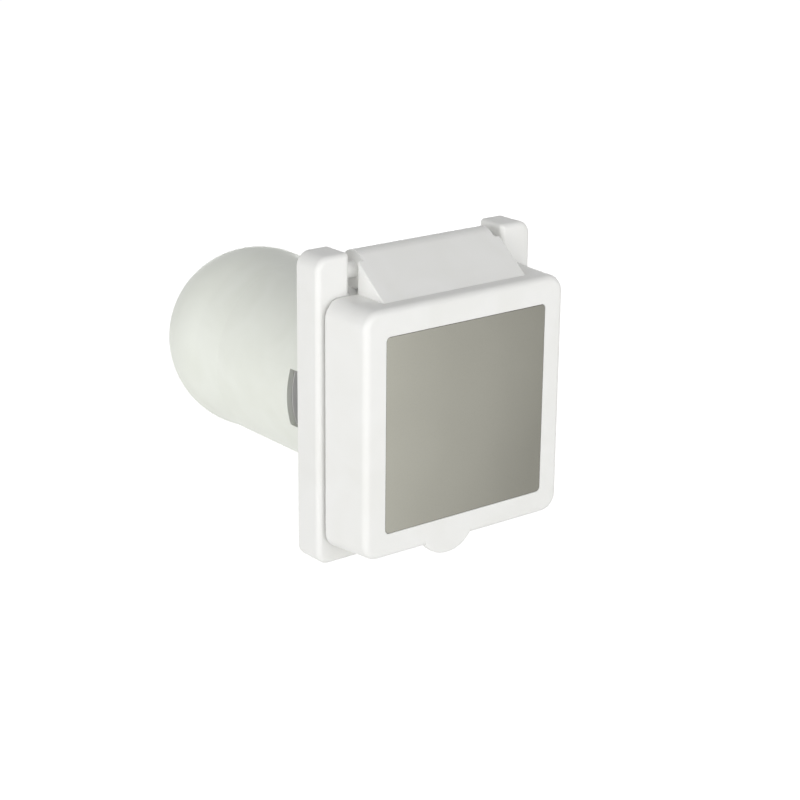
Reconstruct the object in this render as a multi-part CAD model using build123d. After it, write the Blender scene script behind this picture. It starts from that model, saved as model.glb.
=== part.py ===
from build123d import *
import math
import os

# Shore power inlet: a square flange with a hinged lid, a threaded collar with three blades
# behind the lid, and a closed round enclosure for the wiring behind the wall.
#
# Millimetres.  +Z is up and the front faces -Y.  The origin is the centre of the mounting
# face (Y = 0), on the axis of the round enclosure, which runs along +Y.

PAST = 1.0                    # how far a cut runs past the face it opens
NEAR = 0.01                   # places this close count as one

# --- Flange housing -------------------------------------------------------------------
FLANGE_WIDTH = 112.0
FLANGE_DROP = 59.6            # axis to the bottom edge
FLANGE_THICK = 14.2
FLANGE_CORNER = 6.0
FLANGE_EDGE = 2.4             # rounding of the front edges
RIM_WALL = 2.6                # outer wall round the hollow back
LEDGE = 3.2                   # ledge inside the rim that the gasket lies on
WEB = 3.5                     # front wall
GASKET_THICK = 1.5
RING_MARGIN = 1.9             # ring round the enclosure's front end
HOLE_R = 2.6
HOLE_HEAD_R = 4.8
HOLE_BOSS_R = 7.0
HOLE_SIDE_INSET = 13.5        # hole to the flange's side edge
HOLE_BOTTOM_INSET = 17.1      # hole to the flange's bottom edge

# --- Hinge ----------------------------------------------------------------------------
EAR_WIDTH = 16.1
HINGE_HEIGHT = 63.4           # axis of the enclosure to the axis of the hinge
EAR_RISE = 8.6                # hinge axis to the top of the ears
EAR_INSIDE_CORNER = 1.6
SLOT_CORNER = 1.5
BARREL_R = 8.0
BARREL_WALL_GAP = 0.6         # barrel to the mounting plane
BARREL_SLOT_GAP = 0.7         # barrel to the floor of the slot between the ears
HINGE_SIDE_GAP = 2.6          # lid block to each ear
BARREL_END_SET = 3.0          # barrel's ends set back from the sides of the lid block
THRUST_GAP = 0.2
THRUST_R = 3.6
PIN_R = 2.0
PIN_EAR_GAP = 0.03
PIN_LID_GAP = 0.07
PIN_END_WALL = 4.0            # blind end of the pin hole
PLUG_LENGTH = 3.0
PLUG_R = 2.8

# --- Lid ------------------------------------------------------------------------------
LID_GAP = 1.4                 # lid rim to the flange
LID_DEPTH = 25.0
LID_WALL = 3.0
LID_SIDE_MARGIN = 2.2         # lid rim inside the flange's side edge
LID_BOTTOM_MARGIN = 8.0
LID_SIDE_DRAFT = 2.0          # how much each side closes in towards the front
LID_BOTTOM_DRAFT = 1.2
LID_CORNER = 7.6
LID_EDGE = 3.0
LID_TOP_DROP = 8.6            # hinge axis to the lid's top face
WEDGE_REACH = 17.2            # how far the hinge block runs forward over the lid
WEDGE_WALL = 3.0
WEDGE_RIBS = 3
RIB = 2.0
TAB_CENTRE = -8.5
TAB_CHORD = 23.6              # width where it leaves the lid's edge
TAB_LENGTH = 5.6
TAB_THICK = 3.6
TAB_EDGE = 1.1
PLATE_SIDE_MARGIN = 10.3
PLATE_TOP_MARGIN = 11.5
PLATE_BOTTOM_MARGIN = 10.7
PLATE_CORNER = 1.8
PLATE_THICK = 1.2
PLATE_FIT = 0.2
SEAL_THICK = 2.4
SEAL_LAND = 4.4               # radial width of the lid seal
SEAL_GAP = 0.3
SEAT_LIP = 1.6                # low rib either side of the lid seal
SEAL_ROUND = 0.6
RIB_ROOT = 0.5                # a rib's root, inside its wall

# --- Collar and contacts --------------------------------------------------------------
COLLAR_THREAD_R = 27.0
COLLAR_ROOT_R = 26.1
COLLAR_BORE_R = 22.5
COLLAR_FLANGE = 3.0
THREAD_PITCH = 3.2
THREAD_TURNS = 4
THREAD_CREST = 0.25           # share of the pitch at the crest
THREAD_ROOT = 0.8             # share of the pitch at the root
COLLAR_CHAMFER = 0.7
CLAMP_DEPTH = 7.5             # front face of the flange to the collar's seat
COLLAR_GASKET = 0.8
O_RING_R = 1.5
CARRIER_FACE = 10.0           # contact face, in front of the mounting plane
CARRIER_SHOULDER = 3.0
CARRIER_BACK = 16.0
CARRIER_BODY_R = 22.0
CARRIER_FIT = 0.3
BLADE_CIRCLE_R = 13.6
BLADE_THICK = 1.7
BLADE_SPAN = 38.0             # degrees
BLADE_REACH = 17.5            # in front of the contact face
BLADE_FIT = 0.08
HOOK_DEPTH = 3.0
HOOK_THICK = 1.8
TERMINAL_WIDE = 10.0
TERMINAL_HIGH = 9.0
TERMINAL_LONG = 11.0
TERMINAL_CHAMFER = 0.5
TERMINAL_FLOOR = 2.2          # blind end of the wire hole
WIRE_R = 2.8
TERMINAL_SCREW_R = 2.4
TERMINAL_HEAD_R = 3.8
TERMINAL_HEAD = 2.2
DRIVER_SLOT = 1 / 6           # half the slot's width over the head's radius
SCREW_LAND = 8.3              # radial room for the carrier screws, outside the collar
SCREW_R = 1.5
SCREW_HEAD_R = 2.8
SCREW_HEAD = 2.1
SCREW_BITE = 5.0
PILOT_PAST = 0.5              # pilot hole past the screw's end
SCREW_FIT = 0.05
SCREW_COUNT = 4
SHROUD_WALL = 1.8
SHROUD_START = 3.0            # behind the mounting plane
SHROUD_END = 34.0

# --- Rear enclosure -------------------------------------------------------------------
SLEEVE_WALL = 2.4
SLEEVE_END = 83.0
SLEEVE_START = 0.2
TUBE_FIT = 0.3                # between tubes that slide together
SPIGOT_WALL = 2.6
SPIGOT_END = 33.0
WINDOW_HEIGHT = 25.0
WINDOW_START = 10.0
WINDOW_END = 29.0
TONGUE_HEIGHT = 16.0
TONGUE_END = 17.0
TONGUE_CUT_START = 3.0
BARB_LENGTH = 4.6
BARB_RISE = 1.9
CAP_BULGE = 0.9               # the dome stands proud of the cap's straight part
CAP_WALL = 2.4
CAP_STRAIGHT = 26.6
CAP_DOME_DEPTH = 29.4         # dome centre to the flat
CAP_FLAT_WALL = 3.0
REGISTER_LENGTH = 8.0
REGISTER_WALL = 2.2
REGISTER_ROOT = 5.0
CAP_O_RING_R = 0.7
CAP_GROOVE_DEPTH = 1.2
CAP_GROOVE_WIDTH = 2.2
LUG_RISE = 1.1
LUG_LENGTH = 2.6
LUG_SPAN = 14.0               # degrees
LUG_COUNT = 3
LUG_ROOT = 0.5                # a lug's root, inside the register

# --- Cable gland ----------------------------------------------------------------------
GLAND_THREAD_R = 8.0
GLAND_BORE_R = 6.0
GLAND_HEX = 22.0              # across flats
GLAND_HEX_THICK = 3.8
GLAND_WASHER = 1.0
GLAND_FRONT_R = 9.0
GLAND_FRONT = 6.0
GLAND_POCKET_R = 7.6
GLAND_POCKET = 5.0
GLAND_FIT = 0.08
GLAND_THREAD_END = 1.0        # thread past the locknut
NUT_GAP = 0.4
NUT_LENGTH = 9.6
NUT_MOUTH_R = 6.2
NUT_ROOF = 2.0
NUT_CROWN = 1.3               # the crown's radius is this much over half the hexagon
NUT_ROUND = 4.0               # rounding of the nut's rear corners
GLAND_SEAL_BORE_R = 5.0
LOCKNUT_HEX = 24.0
LOCKNUT_THICK = 4.0

# --- Places worked out from the sizes above -------------------------------------------
half_width = FLANGE_WIDTH / 2
ear_inside = half_width - EAR_WIDTH
block_half = ear_inside - HINGE_SIDE_GAP
y_front = -FLANGE_THICK
y_web = y_front + WEB
y_seat = y_front + CLAMP_DEPTH
y_rim = y_front - LID_GAP
y_lid = y_rim - LID_DEPTH
y_lid_inside = y_lid + LID_WALL
hinge_y = -(BARREL_R + BARREL_WALL_GAP)
hinge_z = HINGE_HEIGHT
ear_top = hinge_z + EAR_RISE
slot_floor = hinge_z - BARREL_R - BARREL_SLOT_GAP
lid_top = hinge_z - LID_TOP_DROP
lid_rim_half = half_width - LID_SIDE_MARGIN
lid_rim_bottom = -(FLANGE_DROP - LID_BOTTOM_MARGIN)
lid_front_half = lid_rim_half - LID_SIDE_DRAFT
lid_front_bottom = lid_rim_bottom + LID_BOTTOM_DRAFT
hole_x = half_width - HOLE_SIDE_INSET
hole_z = FLANGE_DROP - HOLE_BOTTOM_INSET
screw_circle_r = COLLAR_THREAD_R + CARRIER_FIT + SCREW_LAND / 2
clamp_r = COLLAR_THREAD_R + CARRIER_FIT + SCREW_LAND
spigot_bore = clamp_r + CARRIER_FIT
spigot_r = spigot_bore + SPIGOT_WALL
sleeve_bore = spigot_r + TUBE_FIT
sleeve_r = sleeve_bore + SLEEVE_WALL
ring_r = sleeve_r + RING_MARGIN
y_collar_front = y_lid_inside + SEAL_THICK + SEAL_GAP
y_collar_flange = y_seat + COLLAR_GASKET
y_shoulder = y_collar_flange + COLLAR_FLANGE
y_shoulder_back = y_shoulder + CARRIER_SHOULDER
seal_middle_r = (COLLAR_THREAD_R + COLLAR_BORE_R) / 2
cap_r = sleeve_r
dome_r = cap_r + CAP_BULGE
cap_bore = cap_r - CAP_WALL
y_dome = SLEEVE_END + CAP_STRAIGHT
y_flat = y_dome + CAP_DOME_DEPTH
y_cap_groove = SLEEVE_END + REGISTER_LENGTH / 3
register_r = cap_bore - TUBE_FIT
y_gland = y_flat + GLAND_WASHER
y_gland_front = y_gland + GLAND_HEX_THICK
y_nut = y_gland_front + NUT_GAP
y_nut_end = y_nut + NUT_LENGTH
BLADE_ANGLES = {"ground": 90.0, "hot": 210.0, "neutral": 330.0}


# --- Shape helpers --------------------------------------------------------------------
def facing(y):
    """Plane that looks forward from depth y: its X is +X, its Y is +Z, and it extrudes to -Y."""
    return Plane(origin=(0, y, 0), x_dir=(1, 0, 0), z_dir=(0, -1, 0))


def box(x0, x1, y0, y1, z0, z1):
    """Box between two corners."""
    middle = ((x0 + x1) / 2, (y0 + y1) / 2, (z0 + z1) / 2)
    return Pos(*middle) * Box(abs(x1 - x0), abs(y1 - y0), abs(z1 - z0))


def disc(radius, y0, y1, x=0.0, z=0.0):
    """Cylinder along Y from y0 to y1."""
    return Pos(x, (y0 + y1) / 2, z) * Rot(90, 0, 0) * Cylinder(radius, y1 - y0)


def ring(outer, inner, y0, y1):
    """Tube along Y from y0 to y1."""
    return disc(outer, y0, y1) - disc(inner, y0 - PAST, y1 + PAST)


def rod(radius, x0, x1, y, z):
    """Cylinder along X from x0 to x1."""
    return Pos((x0 + x1) / 2, y, z) * Rot(0, 90, 0) * Cylinder(radius, x1 - x0)


def rounded(half, z0, z1, corner, y0, y1):
    """Slab from y0 to y1 with a rounded rectangle as its face, centred on X = 0."""
    face = Pos(0, (z0 + z1) / 2) * RectangleRounded(2 * half, z1 - z0, corner)
    return extrude(facing(y1) * face, y1 - y0)


def prism_x(points, x0, x1):
    """Straight-sided prism along X with a (y, z) outline."""
    outline = Polyline(*[(0, y, z) for y, z in points], close=True)
    return Pos(x0, 0, 0) * extrude(make_face(outline), x1 - x0, dir=(1, 0, 0))


def arc_plate(radius, thick, span, y0, y1, angle):
    """Curved plate on a circle round the axis, centred on an angle from +X towards +Z."""
    sector_reach = 2 * (radius + thick)
    spread = sector_reach * math.tan(math.radians(span / 2))
    wedge = Polyline((0, 0), (sector_reach, -spread), (sector_reach, spread), close=True)
    band = Circle(radius + thick / 2) - Circle(radius - thick / 2)
    face = facing(y1) * (Rot(0, 0, angle) * (band & make_face(wedge)))
    return extrude(face, y1 - y0)


def hexagon(across_flats, y0, y1):
    """Hexagonal prism along Y."""
    return extrude(facing(y1) * RegularPolygon(across_flats / 2, 6, major_radius=False), y1 - y0)


def torus(major, minor, y):
    """Round ring about the Y axis."""
    return Pos(0, y, 0) * Rot(90, 0, 0) * Torus(major, minor)


def screw_places():
    """Centres (x, z) of the carrier screws."""
    step = 360 / SCREW_COUNT
    turns = [math.radians(step / 2 + step * i) for i in range(SCREW_COUNT)]
    return [(screw_circle_r * math.cos(t), screw_circle_r * math.sin(t)) for t in turns]


def hole_places():
    """Centres (x, z) of the four mounting holes."""
    return [(sx * hole_x, sz * hole_z) for sx in (-1, 1) for sz in (-1, 1)]


def tangent_from(y, z):
    """Point where a line from (y, z) touches the front of the hinge barrel's top."""
    run = hinge_y - y
    rise = hinge_z - z
    distance = math.hypot(run, rise)
    slope = math.atan2(rise, run) + math.asin(BARREL_R / distance)
    return (hinge_y - BARREL_R * math.sin(slope), hinge_z + BARREL_R * math.cos(slope))


# --- Flange housing -------------------------------------------------------------------
def flange_outline():
    """Flange with rounded corners and front edges, before it is hollowed."""
    height = ear_top + FLANGE_DROP
    face = Pos(0, ear_top - height / 2) * RectangleRounded(2 * half_width, height, FLANGE_CORNER)
    slot_height = ear_top - slot_floor
    face -= Pos(0, ear_top - slot_height / 2) * Rectangle(2 * ear_inside, slot_height)
    inside = face.vertices().filter_by(lambda v: abs(abs(v.X) - ear_inside) < NEAR)
    face = fillet(inside.filter_by(lambda v: v.Y > ear_top - NEAR), EAR_INSIDE_CORNER)
    inside = face.vertices().filter_by(lambda v: abs(v.Y - slot_floor) < NEAR)
    face = fillet(inside, SLOT_CORNER)
    body = extrude(facing(0) * face, FLANGE_THICK)
    return fillet(body.faces().sort_by(Axis.Y)[0].edges(), FLANGE_EDGE)


def hollow_back():
    """Space behind the front wall, outside the centre ring and the screw bosses."""
    inset = RIM_WALL + LEDGE
    top = slot_floor - inset
    space = rounded(half_width - inset, -FLANGE_DROP + inset, top, FLANGE_CORNER / 2, y_web, 0)
    space -= disc(ring_r + LEDGE, y_web - PAST, 1)
    for x, z in hole_places():
        space -= disc(HOLE_BOSS_R, y_web - PAST, 1, x, z)
    return space


def gasket_slab(shrink):
    """Sheet shape of the gasket, smaller by a clearance all round."""
    edge = RIM_WALL + shrink
    top = slot_floor - RIM_WALL - shrink
    sheet = rounded(half_width - edge, -FLANGE_DROP + edge, top, FLANGE_CORNER - RIM_WALL,
                    -GASKET_THICK, 0)
    return sheet - disc(ring_r + shrink, -GASKET_THICK - PAST, 1)


def latch_tongue(side):
    """Flexible tongue with a barb that holds the sleeve, on one side of the spigot."""
    wall = ring(spigot_r, spigot_bore, 0, TONGUE_END)
    tongue = wall & box(0, side * ring_r, 0, TONGUE_END, -TONGUE_HEIGHT / 2, TONGUE_HEIGHT / 2)
    barb_start = WINDOW_START + TUBE_FIT
    inner_x = side * (spigot_r - SPIGOT_WALL / 2)
    crest_x = side * (spigot_r + BARB_RISE)
    outline = Polyline((inner_x, barb_start), (crest_x, barb_start),
                       (inner_x, barb_start + BARB_LENGTH), close=True)
    barb_half = TONGUE_HEIGHT / 2 - 2 * TUBE_FIT
    barb = Pos(0, 0, -barb_half) * extrude(make_face(outline), 2 * barb_half, dir=(0, 0, 1))
    return tongue + barb


def make_flange_housing():
    """Flange with its lid slot, hollow back, spigot with two latch tongues, and screw holes."""
    body = flange_outline()
    body -= hollow_back()
    body -= gasket_slab(0)
    body += ring(spigot_r, spigot_bore, y_web, SPIGOT_END)
    body -= disc(spigot_bore, y_seat, SPIGOT_END + PAST)
    body -= disc(COLLAR_THREAD_R + CARRIER_FIT, y_front - PAST, 1)
    for side in (-1, 1):
        cut_half = WINDOW_HEIGHT / 2 - TUBE_FIT
        body -= box(side * (spigot_bore - SPIGOT_WALL), side * ring_r, TONGUE_CUT_START,
                    WINDOW_END - TUBE_FIT, -cut_half, cut_half)
        body += latch_tongue(side)
    for x, z in hole_places():
        body -= disc(HOLE_R, y_front - PAST, 1, x, z)
        sink = HOLE_HEAD_R - HOLE_R
        cone = Pos(x, y_front + sink / 2, z) * Rot(90, 0, 0) * Cone(HOLE_R, HOLE_HEAD_R, sink)
        body -= cone
    for x, z in screw_places():
        body -= disc(SCREW_R + SCREW_FIT, y_seat - SCREW_BITE - PILOT_PAST, y_seat + PAST, x, z)
    blind_end = -(half_width - PIN_END_WALL)
    body -= rod(PIN_R + PIN_EAR_GAP, blind_end, half_width + PAST, hinge_y, hinge_z)
    body -= rod(PLUG_R + PIN_EAR_GAP, half_width - PLUG_LENGTH, half_width + PAST, hinge_y, hinge_z)
    return body


def make_mounting_gasket():
    """Foam sheet in the flange's back, which the screws press on the wall."""
    sheet = gasket_slab(TUBE_FIT)
    for x, z in hole_places():
        sheet -= disc(HOLE_R, -GASKET_THICK - PAST, 1, x, z)
    return sheet


# --- Hinge hardware -------------------------------------------------------------------
def make_hinge_pin():
    """Pin through both ears and the lid's barrel."""
    start = -(half_width - PIN_END_WALL) + PIN_EAR_GAP
    return rod(PIN_R, start, half_width - PLUG_LENGTH - PIN_EAR_GAP, hinge_y, hinge_z)


def make_hinge_pin_plug():
    """Plug that closes the pin's hole in the right ear."""
    return rod(PLUG_R, half_width - PLUG_LENGTH, half_width, hinge_y, hinge_z)


# --- Lid ------------------------------------------------------------------------------
def lid_section(half, bottom, corner, y):
    """Rounded rectangle of the lid at depth y."""
    face = RectangleRounded(2 * half, lid_top - bottom, corner)
    return facing(y) * (Pos(0, (lid_top + bottom) / 2) * face)


def wedge_points(inset):
    """Outline (y, z) of the hinge block in front of the barrel, inset by a wall."""
    nose_y = y_rim - WEDGE_REACH
    touch_y, touch_z = tangent_from(nose_y, lid_top)
    slope = math.atan2(touch_z - lid_top, touch_y - nose_y)
    back_off = inset / math.sin(slope)
    drop = inset / math.cos(slope)
    if inset == 0:
        return [(nose_y, lid_top - LID_WALL), (nose_y, lid_top), (touch_y, touch_z),
                (hinge_y, hinge_z), (y_rim, lid_top), (y_rim, lid_top - LID_WALL)]
    nose_inside = nose_y + back_off
    pocket_back = y_rim - 2 * inset
    pocket_roof = lid_top + (pocket_back - nose_y) * math.tan(slope) - drop
    return [(nose_inside, lid_top - LID_WALL - PAST), (nose_inside, lid_top), (pocket_back, pocket_roof),
            (pocket_back, lid_top - LID_WALL - PAST)]


def finger_tab():
    """Round lobe that hangs below the lid's front edge, flush with the front."""
    half = TAB_CHORD / 2
    radius = (half ** 2 + TAB_LENGTH ** 2) / (2 * TAB_LENGTH)
    z_centre = lid_front_bottom - TAB_LENGTH + radius
    z_root = lid_front_bottom + LID_EDGE + PAST
    lobe = Pos(TAB_CENTRE, z_centre) * Circle(radius)
    window = Pos(TAB_CENTRE, z_root - radius) * Rectangle(2 * half, 2 * radius)
    tab = extrude(facing(y_lid + TAB_THICK) * (lobe & window), TAB_THICK)
    y_middle = y_lid + TAB_THICK / 2
    hanging = tab.edges().filter_by(lambda e: e.center().Z < lid_front_bottom)
    rims = hanging.filter_by(lambda e: abs(e.center().Y - y_middle) > TAB_THICK / 2 - NEAR)
    return fillet(rims, TAB_EDGE)


def wedge_pockets():
    """Hollows under the hinge block, open into the lid, with ribs left between them."""
    points = wedge_points(WEDGE_WALL)
    inside_half = block_half - WEDGE_WALL
    bay = (2 * inside_half - WEDGE_RIBS * RIB) / (WEDGE_RIBS + 1)
    starts = [-inside_half + i * (bay + RIB) for i in range(WEDGE_RIBS + 1)]
    return [prism_x(points, start, start + bay) for start in starts]


def plate_slab(clearance, depth):
    """Sheet shape of the face plate, larger by a clearance all round."""
    half = lid_front_half - PLATE_SIDE_MARGIN + clearance
    bottom = lid_front_bottom + PLATE_BOTTOM_MARGIN - clearance
    top = lid_top - PLATE_TOP_MARGIN + clearance
    return rounded(half, bottom, top, PLATE_CORNER + clearance, y_lid, y_lid + depth)


def make_lid():
    """Hollow lid with its hinge block, barrel, finger tab and seal seat."""
    rim = lid_section(lid_rim_half, lid_rim_bottom, LID_CORNER, y_rim)
    front = lid_section(lid_front_half, lid_front_bottom, LID_CORNER, y_lid)
    shell = loft([rim.face(), front.face()], ruled=True)
    shell = fillet(shell.faces().sort_by(Axis.Y)[0].edges(), LID_EDGE)
    shell += finger_tab()
    shell += prism_x(wedge_points(0), -block_half, block_half)
    barrel_half = block_half - BARREL_END_SET
    for side in (-1, 1):
        shell -= box(side * barrel_half, side * (block_half + PAST), y_rim, hinge_y + BARREL_R,
                     lid_rim_bottom, ear_top)
    shell += rod(BARREL_R, -barrel_half, barrel_half, hinge_y, hinge_z)
    thrust_half = ear_inside - THRUST_GAP
    shell += rod(THRUST_R, -thrust_half, thrust_half, hinge_y, hinge_z)
    shell -= rounded(lid_front_half - LID_WALL, lid_front_bottom + LID_WALL, lid_top - LID_WALL,
                     LID_CORNER - LID_WALL, y_lid_inside, y_rim + PAST)
    for pocket in wedge_pockets():
        shell -= pocket
    seat_outer = seal_middle_r + SEAL_LAND / 2 + SEAL_GAP
    seat_inner = seal_middle_r - SEAL_LAND / 2 - SEAL_GAP
    for outer, inner in ((seat_outer + RIB, seat_outer), (seat_inner, seat_inner - RIB)):
        shell += ring(outer, inner, y_lid_inside - RIB_ROOT, y_lid_inside + SEAT_LIP)
    shell -= plate_slab(PLATE_FIT, PLATE_THICK)
    shell -= rod(PIN_R + PIN_LID_GAP, -half_width, half_width, hinge_y, hinge_z)
    return shell


def make_lid_face_plate():
    """Thin sheet let into the lid's front."""
    return plate_slab(0, PLATE_THICK)


def make_lid_seal():
    """Flat ring in the lid that closes on the collar's end."""
    outer = seal_middle_r + SEAL_LAND / 2
    inner = seal_middle_r - SEAL_LAND / 2
    seal = ring(outer, inner, y_lid_inside, y_lid_inside + SEAL_THICK)
    return fillet(seal.faces().sort_by(Axis.Y)[-1].edges(), SEAL_ROUND)


# --- Collar and contacts --------------------------------------------------------------
def make_inlet_collar():
    """Collar for the connector's ring, with thread ribs and a clamped flange."""
    y_thread = y_front - 2 * O_RING_R - THREAD_PITCH / 2
    body = ring(COLLAR_ROOT_R, COLLAR_BORE_R, y_collar_front, y_shoulder)
    body = chamfer(body.faces().sort_by(Axis.Y)[0].edges(), COLLAR_CHAMFER)
    body += ring(clamp_r, COLLAR_BORE_R, y_collar_flange, y_shoulder)
    body += ring(COLLAR_THREAD_R, COLLAR_BORE_R, y_front, y_shoulder)
    crest = THREAD_CREST * THREAD_PITCH / 2
    root = THREAD_ROOT * THREAD_PITCH / 2
    inside_r = (COLLAR_ROOT_R + COLLAR_BORE_R) / 2
    for turn in range(THREAD_TURNS):
        y = y_thread - turn * THREAD_PITCH
        outline = Polyline((inside_r, y + root), (COLLAR_ROOT_R, y + root), (COLLAR_THREAD_R, y + crest),
                           (COLLAR_THREAD_R, y - crest), (COLLAR_ROOT_R, y - root), (inside_r, y - root),
                           close=True)
        body += revolve(make_face(outline), Axis.Y, 360)
    for x, z in screw_places():
        body -= disc(SCREW_R + SCREW_FIT, y_collar_flange - PAST, y_shoulder + PAST, x, z)
    return body


def make_collar_gasket():
    """Sheet under the collar's flange."""
    sheet = ring(clamp_r, COLLAR_THREAD_R + CARRIER_FIT, y_seat, y_collar_flange)
    for x, z in screw_places():
        sheet -= disc(SCREW_R + SCREW_FIT, y_seat - PAST, y_collar_flange + PAST, x, z)
    return sheet


def make_collar_o_ring():
    """Ring round the collar, where the connector seals on the front."""
    return torus(COLLAR_ROOT_R + O_RING_R + SCREW_FIT, O_RING_R, y_front - O_RING_R - SCREW_FIT)


def blade_slot(angle, clearance, y0, y1):
    """Curved plate of one blade, thicker and wider by a clearance."""
    wide = math.degrees(clearance / BLADE_CIRCLE_R)
    return arc_plate(BLADE_CIRCLE_R, BLADE_THICK + 2 * clearance, BLADE_SPAN + 2 * wide, y0, y1, angle)


def make_contact_carrier():
    """Insulating block that holds the blades, with recesses for its screws."""
    body = disc(COLLAR_BORE_R - CARRIER_FIT, -CARRIER_FACE, y_shoulder_back)
    body += disc(clamp_r, y_shoulder, y_shoulder_back)
    body += disc(CARRIER_BODY_R, y_shoulder_back - PAST, CARRIER_BACK)
    for angle in BLADE_ANGLES.values():
        body -= blade_slot(angle, BLADE_FIT, -CARRIER_FACE - PAST, CARRIER_BACK + PAST)
    for x, z in screw_places():
        body -= disc(SCREW_R + SCREW_FIT, y_shoulder - PAST, y_shoulder_back + PAST, x, z)
        body -= disc(SCREW_HEAD_R + CARRIER_FIT, y_shoulder_back, CARRIER_BACK + PAST, x, z)
    return body


def make_blade(name):
    """Curved contact blade; the ground blade has a hook at its tip."""
    angle = BLADE_ANGLES[name]
    tip = -(CARRIER_FACE + BLADE_REACH)
    blade = blade_slot(angle, 0, tip, CARRIER_BACK)
    if name == "ground":
        hook_r = BLADE_CIRCLE_R - HOOK_DEPTH / 2
        blade += arc_plate(hook_r, HOOK_DEPTH + BLADE_THICK, BLADE_SPAN / 2, tip, tip + HOOK_THICK,
                           angle)
    return blade


def at_terminal(shape, angle):
    """Shape modelled on +X at the blade circle, turned to a blade's angle round the axis."""
    return Rot(0, -angle, 0) * shape


def make_terminal_block(name):
    """Block behind a blade, with a wire hole and a hole for its screw."""
    inner = BLADE_CIRCLE_R - TERMINAL_HIGH / 2
    outer = BLADE_CIRCLE_R + TERMINAL_HIGH / 2
    y_end = CARRIER_BACK + TERMINAL_LONG
    block = box(inner, outer, CARRIER_BACK, y_end, -TERMINAL_WIDE / 2, TERMINAL_WIDE / 2)
    block = chamfer(block.edges(), TERMINAL_CHAMFER)
    block -= disc(WIRE_R, CARRIER_BACK + TERMINAL_FLOOR, y_end + PAST, BLADE_CIRCLE_R)
    y_screw = CARRIER_BACK + TERMINAL_LONG / 2
    block -= rod(TERMINAL_SCREW_R + SCREW_FIT, BLADE_CIRCLE_R, outer + PAST, y_screw, 0)
    return at_terminal(block, BLADE_ANGLES[name])


def make_terminal_screw(name):
    """Slotted screw that clamps the wire."""
    outer = BLADE_CIRCLE_R + TERMINAL_HIGH / 2
    y_screw = CARRIER_BACK + TERMINAL_LONG / 2
    head_end = outer + TERMINAL_HEAD
    screw = rod(TERMINAL_SCREW_R, BLADE_CIRCLE_R + WIRE_R / 2, outer, y_screw, 0)
    screw += rod(TERMINAL_HEAD_R, outer, head_end, y_screw, 0)
    slot_half = TERMINAL_HEAD_R * DRIVER_SLOT
    screw -= box(head_end - TERMINAL_HEAD / 2, head_end + PAST, y_screw - slot_half, y_screw + slot_half,
                 -TERMINAL_HEAD_R - PAST, TERMINAL_HEAD_R + PAST)
    return at_terminal(screw, BLADE_ANGLES[name])


def make_carrier_screws():
    """Slotted screws that clamp the carrier and the collar to the housing."""
    screws = []
    for x, z in screw_places():
        screw = disc(SCREW_R, y_seat - SCREW_BITE, y_shoulder_back, x, z)
        screw += disc(SCREW_HEAD_R, y_shoulder_back, y_shoulder_back + SCREW_HEAD, x, z)
        slot_half = SCREW_HEAD_R * DRIVER_SLOT
        screw -= box(x - SCREW_HEAD_R, x + SCREW_HEAD_R, y_shoulder_back + SCREW_HEAD / 2,
                     y_shoulder_back + SCREW_HEAD + PAST, z - slot_half, z + slot_half)
        screws.append(screw)
    return Compound(children=screws)


def make_terminal_shroud():
    """Insulating tube pushed over the back of the carrier, round the terminals."""
    bore = CARRIER_BODY_R + BLADE_FIT
    return ring(bore + SHROUD_WALL, bore, SHROUD_START, SHROUD_END)


# --- Rear enclosure -------------------------------------------------------------------
def lug(angle):
    """Bayonet lug on the sleeve's register."""
    y_end = SLEEVE_END + REGISTER_LENGTH
    middle = register_r + (LUG_RISE - LUG_ROOT) / 2
    return arc_plate(middle, LUG_RISE + LUG_ROOT, LUG_SPAN, y_end - LUG_LENGTH, y_end, angle)


def make_rear_sleeve():
    """Tube over the spigot, with a window on each side and a register for the cap."""
    body = ring(sleeve_r, sleeve_bore, SLEEVE_START, SLEEVE_END)
    register_bore = register_r - REGISTER_WALL
    y_end = SLEEVE_END + REGISTER_LENGTH
    body += ring((sleeve_r + sleeve_bore) / 2, register_bore, SLEEVE_END - REGISTER_ROOT, SLEEVE_END)
    body += ring(register_r, register_bore, SLEEVE_END - REGISTER_ROOT, y_end)
    body -= ring(register_r + PAST, register_r - CAP_GROOVE_DEPTH, y_cap_groove - CAP_GROOVE_WIDTH / 2,
                 y_cap_groove + CAP_GROOVE_WIDTH / 2)
    for i in range(LUG_COUNT):
        body += lug(90 + 360 / LUG_COUNT * i)
    half = WINDOW_HEIGHT / 2
    body -= box(-sleeve_r - PAST, sleeve_r + PAST, WINDOW_START, WINDOW_END, -half, half)
    return body


def dome(straight_r, ball_r, y_start, y_cut):
    """Straight cylinder with a slightly wider ball-shaped end, cut off flat."""
    body = disc(straight_r, y_start, y_dome) + Pos(0, y_dome, 0) * Sphere(ball_r)
    reach = ball_r + PAST
    return body & box(-reach, reach, y_start, y_cut, -reach, reach)


def make_rear_cap():
    """Domed end of the enclosure, with a flat for the gland."""
    body = dome(cap_r, dome_r, SLEEVE_END, y_flat)
    body -= dome(cap_bore, dome_r - CAP_WALL, SLEEVE_END - PAST, y_flat - CAP_FLAT_WALL)
    y_lug_end = SLEEVE_END + REGISTER_LENGTH
    track_r = register_r + LUG_RISE + TUBE_FIT
    body -= disc(track_r, y_lug_end - LUG_LENGTH - TUBE_FIT, y_lug_end + TUBE_FIT)
    return body - disc(GLAND_THREAD_R + TUBE_FIT, y_flat - CAP_FLAT_WALL - PAST, y_flat + PAST)


def make_cap_o_ring():
    """Ring in the register's groove."""
    groove_bottom = register_r - CAP_GROOVE_DEPTH
    return torus(groove_bottom + CAP_O_RING_R + SCREW_FIT, CAP_O_RING_R, y_cap_groove)


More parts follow.
